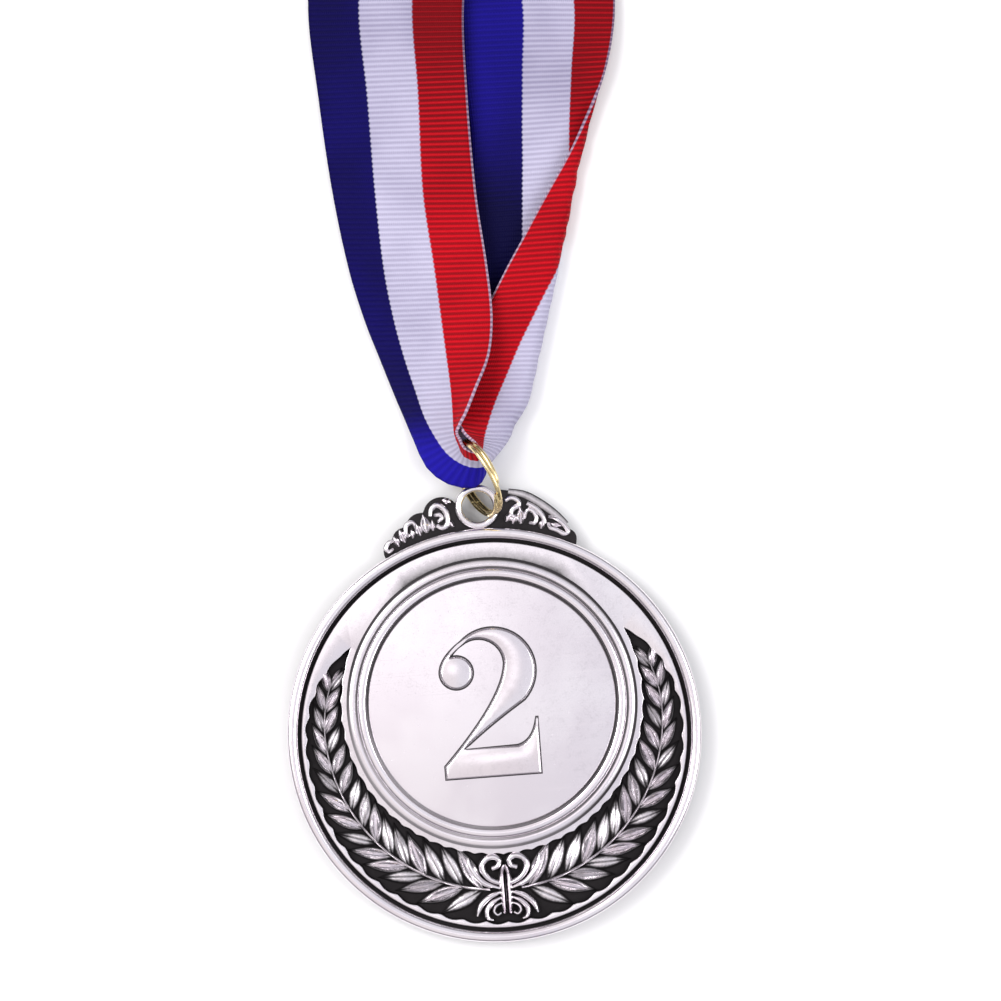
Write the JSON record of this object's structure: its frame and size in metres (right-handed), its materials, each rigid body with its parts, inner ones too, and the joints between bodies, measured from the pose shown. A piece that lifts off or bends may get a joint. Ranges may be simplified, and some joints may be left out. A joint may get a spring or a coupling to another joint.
{
  "type": "place medal on neck ribbon",
  "caption": "Round cast place medal with laurel wreath relief and figure, scrolled lug, split ring and striped neck ribbon folded in a paper band.",
  "frame": {"origin": "centre of the medal's flat back face", "axes": "+Z out of the numbered face, +Y towards the lug and ribbon, +X to the right of the figure"},
  "size_m": [0.065, 0.269, 0.0122],
  "materials": {
    "polished_silver": "polished silver plate",
    "antique_silver": "silver plate with blackened recesses",
    "gilt_wire": "pale gilt wire",
    "striped_ribbon": "ribbed blue, white and red woven ribbon",
    "sewing_thread": "white polyester thread",
    "band_paper": "plain uncoated paper"
  },
  "bodies": {
    "medal": {"disc_blank": "polished_silver", "outer_rim": "polished_silver", "number_frame": "polished_silver", "number_field": "polished_silver", "number_two": "polished_silver", "wreath_left": "antique_silver", "wreath_right": "antique_silver", "wreath_bow": "antique_silver", "lug_plate": "antique_silver", "lug_eyelet": "polished_silver", "lug_scrolls_left": "antique_silver", "lug_scrolls_right": "antique_silver"},
    "ring": {"split_ring": "gilt_wire"},
    "ribbon": {"ribbon_left_strand": "striped_ribbon", "ribbon_right_strand": "striped_ribbon", "ribbon_bight": "striped_ribbon", "ribbon_fold": "striped_ribbon", "ribbon_seam": "sewing_thread"},
    "band": {"paper_band": "band_paper"}
  },
  "joints": [
    {"name": "ring_swing", "type": "hinge", "parent": "medal", "child": "ring", "pos_m": [0, 0.0359, 0.00215], "axis": [0, 0, 1], "range_deg": [-40, 40]},
    {"name": "ribbon_turn", "type": "hinge", "parent": "ring", "child": "ribbon", "pos_m": [-0.0003, 0.04247, 0.00614], "axis": [0.8713, 0.3171, -0.3746], "range_deg": [0, 120]},
    {"name": "band_slide", "type": "slide", "parent": "ribbon", "child": "band", "axis": [0, 1, 0], "range_m": [0, 0.045]}
  ]
}
